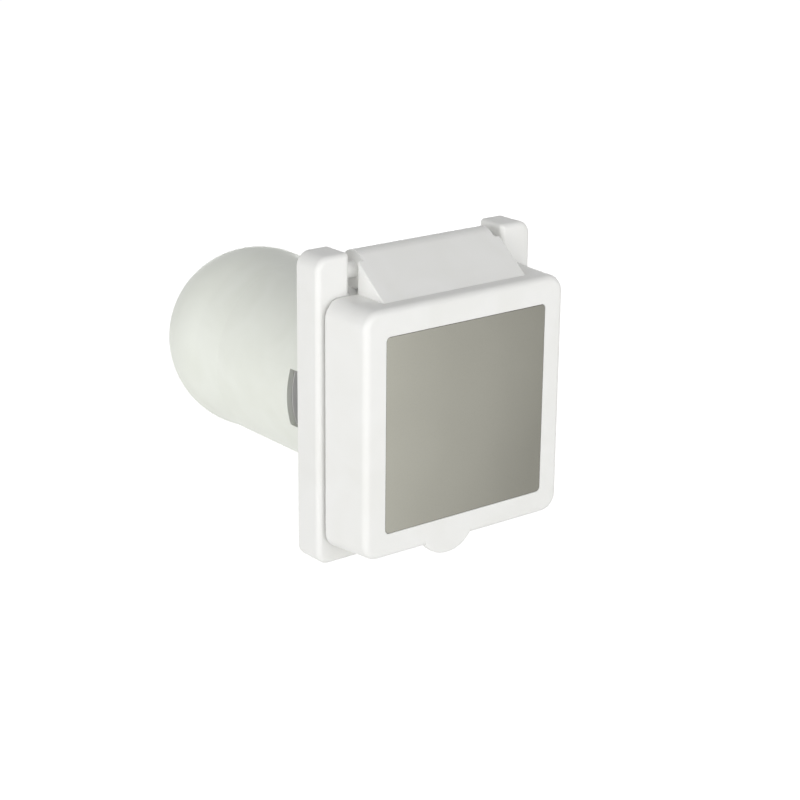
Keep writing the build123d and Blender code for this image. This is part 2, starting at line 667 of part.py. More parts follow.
# --- Cable gland ----------------------------------------------------------------------
def make_gland_washer():
    """Washer between the gland and the cap's flat."""
    return ring(GLAND_HEX / 2, GLAND_THREAD_R + TUBE_FIT, y_flat, y_gland)


def make_gland_body():
    """Threaded gland body with its hexagon and seal pocket."""
    body = hexagon(GLAND_HEX, y_gland, y_gland_front)
    body += disc(GLAND_THREAD_R, y_flat - CAP_FLAT_WALL - LOCKNUT_THICK - GLAND_THREAD_END, y_gland)
    body += disc(GLAND_FRONT_R, y_gland_front - PAST, y_gland_front + GLAND_FRONT)
    body -= disc(GLAND_BORE_R, y_flat - CAP_FLAT_WALL - LOCKNUT_THICK - GLAND_THREAD_END - PAST, y_nut_end)
    y_pocket = y_gland_front + GLAND_FRONT - GLAND_POCKET
    return body - disc(GLAND_POCKET_R, y_pocket, y_nut_end)


def make_gland_seal():
    """Rubber sleeve that grips the cable."""
    y_pocket = y_gland_front + GLAND_FRONT - GLAND_POCKET
    return ring(GLAND_POCKET_R - GLAND_FIT, GLAND_SEAL_BORE_R, y_pocket, y_nut_end - NUT_ROOF)


def make_gland_nut():
    """Crowned hexagon nut that presses the seal."""
    body = hexagon(GLAND_HEX, y_nut, y_nut_end)
    body &= dome_end(GLAND_HEX / 2 + NUT_CROWN)
    body -= disc(GLAND_FRONT_R + GLAND_FIT, y_nut - PAST, y_gland_front + GLAND_FRONT + NUT_GAP)
    body -= disc(GLAND_POCKET_R, y_nut, y_nut_end - NUT_ROOF)
    return body - disc(NUT_MOUTH_R, y_nut, y_nut_end + PAST)


def dome_end(radius):
    """Barrel with a rounded rear end, used to crown the gland nut."""
    blank = disc(radius, y_nut, y_nut_end)
    return fillet(blank.faces().sort_by(Axis.Y)[-1].edges(), NUT_ROUND)


def make_gland_locknut():
    """Nut inside the cap that holds the gland."""
    y_inside = y_flat - CAP_FLAT_WALL
    nut = hexagon(LOCKNUT_HEX, y_inside - LOCKNUT_THICK, y_inside)
    return nut - disc(GLAND_THREAD_R + GLAND_FIT, y_inside - LOCKNUT_THICK - PAST, y_inside + PAST)


# --- All the nodes --------------------------------------------------------------------
def make_parts():
    """Every node of the inlet by name."""
    parts = {
        "flange_housing": make_flange_housing(),
        "mounting_gasket": make_mounting_gasket(),
        "hinge_pin": make_hinge_pin(),
        "hinge_pin_plug": make_hinge_pin_plug(),
        "lid": make_lid(),
        "lid_face_plate": make_lid_face_plate(),
        "lid_seal": make_lid_seal(),
        "inlet_collar": make_inlet_collar(),
        "collar_gasket": make_collar_gasket(),
        "collar_o_ring": make_collar_o_ring(),
        "contact_carrier": make_contact_carrier(),
        "carrier_screws": make_carrier_screws(),
        "terminal_shroud": make_terminal_shroud(),
        "rear_sleeve": make_rear_sleeve(),
        "rear_cap": make_rear_cap(),
        "cap_o_ring": make_cap_o_ring(),
        "gland_washer": make_gland_washer(),
        "gland_body": make_gland_body(),
        "gland_seal": make_gland_seal(),
        "gland_nut": make_gland_nut(),
        "gland_locknut": make_gland_locknut(),
    }
    for name in BLADE_ANGLES:
        parts[f"blade_{name}"] = make_blade(name)
        parts[f"terminal_block_{name}"] = make_terminal_block(name)
        parts[f"terminal_screw_{name}"] = make_terminal_screw(name)
    return parts


os.makedirs("parts", exist_ok=True)
for node, shape in make_parts().items():
    export_step(shape, f"parts/{node}.step")
    size = shape.bounding_box().size
    print(f"{node}: {size.X:.1f} x {size.Y:.1f} x {size.Z:.1f} mm")
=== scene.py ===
"""Looks of a shore power inlet: a hinged lid on a square flange, with a round enclosure behind the wall.

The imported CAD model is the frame.  Each sub-assembly is a class that builds its own pieces round that frame,
in metres, and gives every surface a finish named for the real material and how it was made.
"""

import logging
import math
from dataclasses import dataclass
from enum import Enum
from typing import Any, Protocol

import bmesh
import bpy
from mathutils import Matrix, Vector


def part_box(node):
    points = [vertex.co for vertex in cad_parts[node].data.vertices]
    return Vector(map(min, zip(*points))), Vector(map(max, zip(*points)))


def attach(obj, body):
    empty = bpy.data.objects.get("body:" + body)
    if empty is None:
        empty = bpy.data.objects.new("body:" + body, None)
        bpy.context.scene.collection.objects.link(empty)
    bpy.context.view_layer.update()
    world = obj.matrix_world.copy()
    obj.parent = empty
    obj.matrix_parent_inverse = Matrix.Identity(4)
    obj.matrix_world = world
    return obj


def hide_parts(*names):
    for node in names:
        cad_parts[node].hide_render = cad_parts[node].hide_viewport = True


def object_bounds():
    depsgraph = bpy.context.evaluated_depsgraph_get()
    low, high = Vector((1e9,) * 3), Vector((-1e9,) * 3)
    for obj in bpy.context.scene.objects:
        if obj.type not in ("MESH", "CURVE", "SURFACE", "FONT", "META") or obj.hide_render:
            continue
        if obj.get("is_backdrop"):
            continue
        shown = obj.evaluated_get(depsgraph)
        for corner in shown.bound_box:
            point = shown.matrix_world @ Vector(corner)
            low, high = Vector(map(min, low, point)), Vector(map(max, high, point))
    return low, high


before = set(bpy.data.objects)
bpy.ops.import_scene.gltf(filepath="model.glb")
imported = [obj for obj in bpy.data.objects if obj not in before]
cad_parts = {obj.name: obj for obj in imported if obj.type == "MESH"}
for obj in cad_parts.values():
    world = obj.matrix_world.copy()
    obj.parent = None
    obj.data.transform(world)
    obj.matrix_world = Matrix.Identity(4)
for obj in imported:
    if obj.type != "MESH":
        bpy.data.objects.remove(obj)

MM = 0.001
WELD = 2e-6                    # metres within which two corners are one
SLIVER = 1e-6                  # metres below which an edge or face has no size
FLAT_DEG = 0.4                 # faces that turn less than this are one flat face
LOG = logging.getLogger("inlet")
Point = tuple[float, float]
Place = tuple[float, float, float]


# --- Colours and nodes ----------------------------------------------------------------
def linear(hex_colour: str) -> tuple[float, float, float, float]:
    """Turns an sRGB hex colour into linear light.

    Args:
        hex_colour: Six hex digits after a hash sign.

    Returns:
        Red, green, blue and alpha.
    """
    coded = [int(hex_colour[i:i + 2], 16) / 255.0 for i in (1, 3, 5)]
    red, green, blue = (c / 12.92 if c <= 0.04045 else ((c + 0.055) / 1.055) ** 2.4 for c in coded)
    return (red, green, blue, 1.0)


def add_node(tree: bpy.types.NodeTree, kind: str, inputs: dict[Any, Any] | None = None,
             **settings: Any) -> bpy.types.Node:
    """Adds one node, sets its fields, and fills or links its sockets.

    Args:
        tree: The node tree that gets the node.
        kind: The node's type, without its ShaderNode prefix.
        inputs: Socket names or numbers, each with a value or the output socket that feeds it.
        settings: Fields of the node.

    Returns:
        The new node.
    """
    node = tree.nodes.new("ShaderNode" + kind)
    for name, value in settings.items():
        setattr(node, name, value)
    for key, value in (inputs or {}).items():
        if isinstance(value, bpy.types.NodeSocket):
            tree.links.new(value, node.inputs[key])
        else:
            node.inputs[key].default_value = value
    return node


def per_metre(size_mm: float) -> float:
    """Gives the texture scale at which one feature is size_mm wide."""
    return 1.0 / (size_mm * MM)


class Finish(Protocol):
    """What a surface is made of."""

    name: str

    def shade(self, tree: bpy.types.NodeTree, place: bpy.types.NodeSocket) -> bpy.types.Node:
        """Builds the shader from Object coordinates and returns it."""


def make_material(finish: Finish) -> bpy.types.Material:
    """Builds the node material of one finish.

    Args:
        finish: The finish.

    Returns:
        The material, which reads Object coordinates only.
    """
    material = bpy.data.materials.new(finish.name)
    material.use_nodes = True
    tree = material.node_tree
    tree.nodes.clear()
    place = add_node(tree, "TexCoord").outputs["Object"]
    shader = finish.shade(tree, place)
    add_node(tree, "OutputMaterial", {"Surface": shader.outputs[0]})
    return material


def two_tone(tree: bpy.types.NodeTree, pattern: bpy.types.NodeSocket, low: str, high: str,
             spread: float = 0.15) -> bpy.types.NodeSocket:
    """Blends between two colours where a pattern runs from low to high.

    Args:
        tree: The node tree.
        pattern: A pattern with its middle at 0.5.
        low: Colour at the low end, sRGB.
        high: Colour at the high end, sRGB.
        spread: How far each side of the middle the blend reaches.

    Returns:
        The colour socket.
    """
    ramp = add_node(tree, "ValToRGB", {"Fac": pattern})
    first, last = ramp.color_ramp.elements
    first.position, last.position = 0.5 - spread, 0.5 + spread
    first.color, last.color = linear(low), linear(high)
    return ramp.outputs["Color"]


def varied(tree: bpy.types.NodeTree, pattern: bpy.types.NodeSocket, middle: float,
           swing: float) -> bpy.types.NodeSocket:
    """Turns a pattern round 0.5 into a number that swings about its middle value."""
    level = add_node(tree, "MapRange", {"Value": pattern, "From Min": 0.3, "From Max": 0.7,
                                        "To Min": middle - swing, "To Max": middle + swing})
    return level.outputs["Result"]


# --- Finishes -------------------------------------------------------------------------
@dataclass(frozen=True)
class MouldedPlastic:
    """An injection-moulded plastic: a fine spark-eroded grain, faint flow clouds and edges rubbed smooth.

    Attributes:
        name: Common name of the plastic, after how it was made.
        colour: Main colour, sRGB.
        flow: Colour of the flow clouds, sRGB.
        roughness: Mean roughness.
        grain_mm: Width of a grain.  The real grain is about a tenth of this, too fine to show.
        relief_mm: Height of a grain.
        polish: How much smoother the rubbed edges are.
        ior: Refractive index.
        flow_mm: Width of a flow cloud.
        rubbed_mm: How far in from an edge the rubbing reaches.
    """

    name: str
    colour: str
    flow: str
    roughness: float
    grain_mm: float
    relief_mm: float
    polish: float = 0.1
    ior: float = 1.52
    flow_mm: float = 26.0
    rubbed_mm: float = 0.9

    def shade(self, tree: bpy.types.NodeTree, place: bpy.types.NodeSocket) -> bpy.types.Node:
        """Builds the shader.

        Args:
            tree: The material's node tree.
            place: Object coordinates.

        Returns:
            The principled shader node.
        """
        grain = add_node(tree, "TexNoise", {"Vector": place, "Scale": per_metre(self.grain_mm),
                                            "Detail": 3.0, "Roughness": 0.6})
        cloud = add_node(tree, "TexNoise", {"Vector": place, "Scale": per_metre(self.flow_mm),
                                            "Detail": 2.0, "Distortion": 0.7})
        rounded = add_node(tree, "Bevel", {"Radius": self.rubbed_mm * MM}, samples=4)
        flat = add_node(tree, "NewGeometry")
        same = add_node(tree, "VectorMath", {0: rounded.outputs[0], 1: flat.outputs["Normal"]},
                        operation="DOT_PRODUCT")
        edge = add_node(tree, "MapRange", {"Value": same.outputs["Value"], "From Min": 0.99,
                                           "From Max": 0.8, "To Min": 0.0, "To Max": self.polish})
        matt = varied(tree, grain.outputs["Fac"], self.roughness, 0.05)
        gloss = add_node(tree, "Math", {0: matt, 1: edge.outputs["Result"]}, operation="SUBTRACT")
        bump = add_node(tree, "Bump", {"Height": grain.outputs["Fac"], "Strength": 0.5,
                                       "Distance": self.relief_mm * MM})
        return add_node(tree, "BsdfPrincipled", {
            "Base Color": two_tone(tree, cloud.outputs["Fac"], self.flow, self.colour),
            "Roughness": gloss.outputs[0], "IOR": self.ior, "Normal": bump.outputs["Normal"]})


@dataclass(frozen=True)
class BlastedAluminium:
    """Sheet aluminium, bead-blasted and clear anodised: a soft satin with broad, slightly uneven clouds, and a
    painted shade that darkens it from left to right.

    Attributes:
        name: Common name of the metal, after how its surface was made.
        colour: Main colour, sRGB.
        dull_and_shaded: Colour where the blasting bit deeper, and the colour of the painted shade towards the
            right, sRGB.
        roughness: Mean roughness.
        bead_mm: Width of one dimple.  The real ones are about a fifth of this.
        dimple_mm: Depth of a dimple.
        cloud_mm: Width of a cloud.
        painted_shade_span_mm: Width over which a painted shade darkens the plate from left to right.
    """

    name: str
    colour: str
    dull_and_shaded: str
    roughness: float
    bead_mm: float
    dimple_mm: float
    cloud_mm: float
    painted_shade_span_mm: float

    def shade(self, tree: bpy.types.NodeTree, place: bpy.types.NodeSocket) -> bpy.types.Node:
        """Builds the shader.

        Args:
            tree: The material's node tree.
            place: Object coordinates.

        Returns:
            The principled shader node.
        """
        beads = add_node(tree, "TexVoronoi", {"Vector": place, "Scale": per_metre(self.bead_mm)},
                         feature="SMOOTH_F1")
        clouds = add_node(tree, "TexNoise", {"Vector": place, "Scale": per_metre(self.cloud_mm),
                                             "Detail": 2.0, "Roughness": 0.4})
        across = add_node(tree, "SeparateXYZ", {"Vector": place})
        # Painted shade: the plate's colour darkens evenly from left to right along X.
        painted_shade = add_node(tree, "Math", {0: across.outputs["X"], 1: -per_metre(self.painted_shade_span_mm), 2: 0.25},
                        operation="MULTIPLY_ADD")
        tone = add_node(tree, "Math", {0: clouds.outputs["Fac"], 1: 0.5, 2: painted_shade.outputs[0]},
                        operation="MULTIPLY_ADD")
        bump = add_node(tree, "Bump", {"Height": beads.outputs["Distance"], "Strength": 0.4,
                                       "Distance": self.dimple_mm * MM})
        return add_node(tree, "BsdfPrincipled", {
            "Base Color": two_tone(tree, tone.outputs[0], self.dull_and_shaded, self.colour, 0.4),
            "Metallic": 1.0, "Roughness": varied(tree, beads.outputs["Distance"], self.roughness, 0.04),
            "Normal": bump.outputs["Normal"]})


@dataclass(frozen=True)
class WorkedMetal:
    """A bare metal with tool or rolling marks drawn out along one direction, and faint tarnish.

    Attributes:
        name: Common name of the metal, after how its surface was made.
        colour: Bright colour, sRGB.
        tarnish: Colour of the tarnished patches, sRGB.
        roughness: Mean roughness.
        mark_mm: Distance between marks.
        draw: Pattern frequency along X, Y and Z; a low number draws the marks out that way.
        depth_mm: Depth of a mark.
        patch_mm: Width of a tarnished patch.
    """

    name: str
    colour: str
    tarnish: str
    roughness: float
    mark_mm: float
    draw: Place
    depth_mm: float
    patch_mm: float = 7.0

    def shade(self, tree: bpy.types.NodeTree, place: bpy.types.NodeSocket) -> bpy.types.Node:
        """Builds the shader.

        Args:
            tree: The material's node tree.
            place: Object coordinates.

        Returns:
            The principled shader node.
        """
        drawn = add_node(tree, "Mapping", {"Vector": place, "Scale": self.draw})
        marks = add_node(tree, "TexNoise", {"Vector": drawn.outputs["Vector"], "Detail": 3.0,
                                            "Scale": per_metre(self.mark_mm)})
        patches = add_node(tree, "TexNoise", {"Vector": place, "Scale": per_metre(self.patch_mm),
                                              "Detail": 3.0})
        bump = add_node(tree, "Bump", {"Height": marks.outputs["Fac"], "Strength": 0.5,
                                       "Distance": self.depth_mm * MM})
        return add_node(tree, "BsdfPrincipled", {
            "Base Color": two_tone(tree, patches.outputs["Fac"], self.tarnish, self.colour),
            "Metallic": 1.0, "Roughness": varied(tree, marks.outputs["Fac"], self.roughness, 0.07),
            "Normal": bump.outputs["Normal"]})


@dataclass(frozen=True)
class Rubber:
    """A moulded or foamed rubber: pores or fine pimples, with a faint pale bloom.

    Attributes:
        name: Common name of the rubber, after how it was made.
        colour: Main colour, sRGB.
        bloom: Colour of the bloom, sRGB.
        roughness: Roughness.
        pore_mm: Width of a pore.
        depth_mm: Depth of a pore.
        bloom_mm: Width of a patch of bloom.
    """

    name: str
    colour: str
    bloom: str
    roughness: float
    pore_mm: float
    depth_mm: float
    bloom_mm: float = 5.0

    def shade(self, tree: bpy.types.NodeTree, place: bpy.types.NodeSocket) -> bpy.types.Node:
        """Builds the shader.

        Args:
            tree: The material's node tree.
            place: Object coordinates.

        Returns:
            The principled shader node.
        """
        pores = add_node(tree, "TexVoronoi", {"Vector": place, "Scale": per_metre(self.pore_mm)})
        bloom = add_node(tree, "TexNoise", {"Vector": place, "Scale": per_metre(self.bloom_mm),
                                            "Detail": 4.0})
        bump = add_node(tree, "Bump", {"Height": pores.outputs["Distance"], "Strength": 0.6,
                                       "Distance": self.depth_mm * MM})
        return add_node(tree, "BsdfPrincipled", {
            "Base Color": two_tone(tree, bloom.outputs["Fac"], self.colour, self.bloom, 0.3),
            "Roughness": self.roughness, "IOR": 1.52, "Sheen Weight": 0.12, "Sheen Roughness": 0.4,
            "Normal": bump.outputs["Normal"]})


@dataclass(frozen=True)
class StudioPaper:
    """A seamless white paper floor, which the camera and reflections see as white under its shadow.

    Attributes:
        name: What it is.
        colour: Paper colour, sRGB.
        glow: Light added for camera and glossy rays, so that the lit paper reads as white.
        fibre_mm: Width of a clump of fibres.
        relief_mm: Height of a clump.
    """

    name: str
    colour: str
    glow: float
    fibre_mm: float = 3.0
    relief_mm: float = 0.05

    def shade(self, tree: bpy.types.NodeTree, place: bpy.types.NodeSocket) -> bpy.types.Node:
        """Builds the shader.

        Args:
            tree: The material's node tree.
            place: Object coordinates.

        Returns:
            The shader node.
        """
        fibre = add_node(tree, "TexNoise", {"Vector": place, "Scale": per_metre(self.fibre_mm),
                                            "Detail": 4.0})
        bump = add_node(tree, "Bump", {"Height": fibre.outputs["Fac"], "Strength": 0.1,
                                       "Distance": self.relief_mm * MM})
        matt = add_node(tree, "BsdfDiffuse", {"Color": linear(self.colour),
                                              "Normal": bump.outputs["Normal"]})
        light = add_node(tree, "MapRange", {"Value": seen_directly(tree), "To Max": self.glow})
        glow = add_node(tree, "Emission", {"Strength": light.outputs["Result"]})
        return add_node(tree, "AddShader", {0: matt.outputs[0], 1: glow.outputs[0]})


def seen_directly(tree: bpy.types.NodeTree) -> bpy.types.NodeSocket:
    """Tells the rays that see a surface from the diffuse ones that light by it.

    Args:
        tree: The node tree.

    Returns:
        A socket that is 1 for camera, glossy and transmission rays, and 0 for diffuse ones.
    """
    ray = add_node(tree, "LightPath")
    seen = ray.outputs["Is Camera Ray"]
    for other in ("Is Glossy Ray", "Is Transmission Ray"):
        seen = add_node(tree, "Math", {0: seen, 1: ray.outputs[other]}, operation="MAXIMUM").outputs[0]
    return seen


class Slot(Enum):
    """The record's material slots, by what the finish is."""

    HOUSING = "housing_white"
    ENCLOSURE = "enclosure_white"
    FACE_PLATE = "face_plate"
    RUBBER = "rubber_black"
    FOAM = "rubber_grey"
    INSERT = "carrier_black"
    STAINLESS = "stainless"
    BLADE = "blade_brass"
    TERMINAL = "terminal_brass"
    GLAND = "gland_nylon"


# Weather-resistant ASA is an even, slightly warm white with a soft semi-gloss; the enclosure's
# polypropylene is a shade greener and duller.  Glass-filled nylon shows its fibres as a rougher skin.
FINISHES: dict[Slot, Finish] = {
    Slot.HOUSING: MouldedPlastic("moulded_white_asa", "#f1f1ef", "#eeeeeb", 0.4, 0.9, 0.012),
    Slot.ENCLOSURE: MouldedPlastic("moulded_white_polypropylene", "#f2f5ed", "#eef1e8", 0.44, 1.1, 0.014),
    # The plate's last figure is the span of its painted shade, which darkens it from left to right.
    Slot.FACE_PLATE: BlastedAluminium("bead_blasted_anodised_aluminium", "#9c9b92", "#7f7e76", 0.4, 0.45,
                                      0.01, 60.0, 110.0),
    Slot.RUBBER: Rubber("moulded_black_epdm", "#161718", "#2b2c2d", 0.55, 0.6, 0.02),
    Slot.FOAM: Rubber("closed_cell_grey_neoprene_foam", "#46484a", "#5b5d5e", 0.85, 0.8, 0.12),
    Slot.INSERT: MouldedPlastic("moulded_black_glass_filled_nylon", "#1a1b1d", "#232427", 0.48, 0.7,
                                0.03, 0.06),
    Slot.STAINLESS: WorkedMetal("turned_stainless_steel", "#cfcecb", "#b7b5b1", 0.27, 0.35,
                                (1.0, 5.0, 1.0), 0.01),
    Slot.BLADE: WorkedMetal("rolled_nickel_washed_brass", "#d3c08a", "#bda970", 0.3, 0.6,
                            (1.0, 0.1, 1.0), 0.003),
    Slot.TERMINAL: WorkedMetal("milled_brass", "#cda659", "#ab8641", 0.33, 0.4, (1.0, 6.0, 1.0), 0.01),
    Slot.GLAND: MouldedPlastic("moulded_grey_white_nylon", "#dadcd7", "#d2d5cf", 0.45, 0.8, 0.012),
}


# --- Shape helpers --------------------------------------------------------------------
def arc(centre: Point, radius: float, start: float, end: float, steps: int) -> list[Point]:
    """Gives points along an arc.

    Args:
        centre: The arc's centre.
        radius: Its radius.
        start: First angle in degrees.
        end: Last angle in degrees.
        steps: Number of spans between the points.

    Returns:
        The points, both ends among them.
    """
    turns = [math.radians(start + (end - start) * i / steps) for i in range(steps + 1)]
    return [(centre[0] + radius * math.cos(t), centre[1] + radius * math.sin(t)) for t in turns]


def revolve(outline: list[Point], steps: int = 128) -> bmesh.types.BMesh:
    """Turns a closed outline of (radius, y) points once round the Y axis.

    Args:
        outline: Corner points in millimetres, in order.
        steps: Spans of the full turn.

    Returns:
        The closed mesh, in metres.
    """
    bm = bmesh.new()
    corners = [bm.verts.new((r * MM, y * MM, 0.0)) for r, y in outline]
    rim = [bm.edges.new(pair) for pair in zip(corners, corners[1:] + corners[:1])]
    bmesh.ops.spin(bm, geom=corners + rim, cent=(0, 0, 0), axis=(0, 1, 0), dvec=(0, 0, 0),
                   angle=math.tau, steps=steps, use_merge=True, use_duplicate=False)
    bmesh.ops.remove_doubles(bm, verts=bm.verts, dist=SLIVER)
    bmesh.ops.recalc_face_normals(bm, faces=bm.faces)
    return bm


def extent(node: str, axis: int) -> Point:
    """Gives where a CAD node begins and ends along one axis, in millimetres."""
    low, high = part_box(node)
    return (low[axis] / MM, high[axis] / MM)


def reach(node: str) -> float:
    """Gives a round CAD node's radius about the Y axis, in millimetres."""
    return extent(node, 0)[1]


def ease(bm: bmesh.types.BMesh, edges: list[bmesh.types.BMEdge], radius_mm: float) -> None:
    """Rounds chosen edges of a mesh in place.

    Args:
        bm: The mesh.
        edges: Its edges to round.
        radius_mm: How far the rounding reaches from each edge.
    """
    bmesh.ops.bevel(bm, geom=edges, offset=radius_mm * MM, offset_type="OFFSET", segments=4,
                    profile=0.5, affect="EDGES", material=-1, clamp_overlap=False)


@dataclass
class SubAssembly:
    """Pieces that belong together and ride on one body.

    Attributes:
        materials: The material of each slot.
        body: The CAD body that the pieces ride on.
    """

    materials: dict[Slot, bpy.types.Material]
    body: str = "base"

    def dress(self, slot: Slot, *nodes: str) -> None:
        """Gives CAD nodes that keep their shape the finish of a slot.

        Args:
            slot: The slot of the finish.
            nodes: The CAD nodes.
        """
        for node in nodes:
            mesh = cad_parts[node].data
            mesh.materials.clear()
            mesh.materials.append(self.materials[slot])
            LOG.info("%s: dressed in %s", node, self.materials[slot].name)

    def place(self, name: str, bm: bmesh.types.BMesh, slot: Slot, *nodes: str,
              edge_mm: float = 0.0, sharp_deg: float = 32.0) -> bpy.types.Object:
        """Turns a mesh into a piece on this body, in place of CAD nodes.

        Args:
            name: The piece's name.
            bm: Its mesh, in metres in the row frame; it is freed.
            slot: The slot of its finish.
            nodes: The CAD nodes that it stands for.
            edge_mm: Rounding of its sharp edges.
            sharp_deg: The angle from which an edge is sharp.

        Returns:
            The piece's object.
        """
        mesh = bpy.data.meshes.new(name)
        bm.to_mesh(mesh)
        bm.free()
        mesh.shade_smooth()
        mesh.set_sharp_from_angle(angle=math.radians(sharp_deg))
        mesh.materials.append(self.materials[slot])
        piece = bpy.data.objects.new(name, mesh)
        bpy.context.scene.collection.objects.link(piece)
        if edge_mm:
            rounding = piece.modifiers.new("edge", "BEVEL")
            rounding.width = edge_mm * MM
            rounding.segments = 3
            rounding.limit_method = "ANGLE"
            rounding.angle_limit = math.radians(sharp_deg)
            rounding.use_clamp_overlap = True
            even = piece.modifiers.new("even", "WEIGHTED_NORMAL")
            even.keep_sharp = True
        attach(piece, self.body)
        if nodes:
            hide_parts(*nodes)
        LOG.info("%s: %d faces on %s", name, len(mesh.polygons), self.body)
        return piece

    def copy(self, node: str) -> bmesh.types.BMesh:
        """Copies a CAD node's mesh and joins its loose triangles into one skin.

        Args:
            node: The CAD node.

        Returns:
            The joined mesh, with its flat areas made whole.
        """
        bm = bmesh.new()
        bm.from_mesh(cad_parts[node].data)
        for layer in list(bm.loops.layers.float_vector.values()):
            bm.loops.layers.float_vector.remove(layer)
        bmesh.ops.remove_doubles(bm, verts=bm.verts, dist=WELD)
        bmesh.ops.dissolve_degenerate(bm, edges=bm.edges, dist=SLIVER)
        bmesh.ops.dissolve_limit(bm, angle_limit=math.radians(FLAT_DEG), verts=bm.verts, edges=bm.edges)
        return bm


# --- Sub-assemblies -------------------------------------------------------------------
@dataclass
class FlangeHousing(SubAssembly):
    """The square flange with its ears, hollow back, spigot and gasket."""

    edge_mm: float = 0.35

    def build(self) -> None:
        """Builds the moulding and dresses the gasket."""
        self.place("flange_moulding", self.copy("flange_housing"), Slot.HOUSING, "flange_housing",
                   edge_mm=self.edge_mm)
        self.dress(Slot.FOAM, "mounting_gasket")


@dataclass
class HingeHardware(SubAssembly):
    """The pin through the lid's barrel and the plug that closes its hole.

    Attributes:
        pin_chamfer: Chamfer of the pin's ends.
        plug_crown: How far the plug's rim falls back from its middle.
    """

    pin_chamfer: float = 0.4
    plug_crown: float = 0.35

    def along_pin(self, outline: list[Point], node: str) -> bmesh.types.BMesh:
        """Turns an outline of (radius, x) points round the hinge axis that a node lies on.

        Args:
            outline: Corner points in millimetres.
            node: The CAD node whose middle gives the axis.

        Returns:
            The mesh, laid along X.
        """
        bm = revolve(outline, 48)
        low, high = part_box(node)
        middle = (low + high) / 2
        bmesh.ops.rotate(bm, verts=bm.verts, cent=(0, 0, 0), matrix=Matrix.Rotation(-math.pi / 2, 3, "Z"))
        bmesh.ops.translate(bm, verts=bm.verts, vec=(0.0, middle.y, middle.z))
        return bm

    def measure(self, node: str) -> tuple[float, float, float]:
        """Measures a rod that lies along X.

        Args:
            node: The CAD node.

        Returns:
            Where it starts and ends, and its radius, in millimetres.
        """
        start, end = extent(node, 0)
        low, high = extent(node, 2)
        return (start, end, (high - low) / 2)

    def build(self) -> None:
        """Builds the pin and the plug."""
        start, end, radius = self.measure("hinge_pin")
        cut = self.pin_chamfer
        pin = [(0.0, start), (radius - cut, start), (radius, start + cut), (radius, end - cut),
               (radius - cut, end), (0.0, end)]
        self.place("hinge_pin_turned", self.along_pin(pin, "hinge_pin"), Slot.STAINLESS, "hinge_pin")
        start, end, radius = self.measure("hinge_pin_plug")
        crown = self.plug_crown
        plug = [(0.0, start), (radius, start), (radius, end - 2 * crown), (radius - crown, end - crown),
                (radius / 2, end - crown / 4), (0.0, end)]
        self.place("hinge_plug_crowned", self.along_pin(plug, "hinge_pin_plug"), Slot.HOUSING,
                   "hinge_pin_plug")


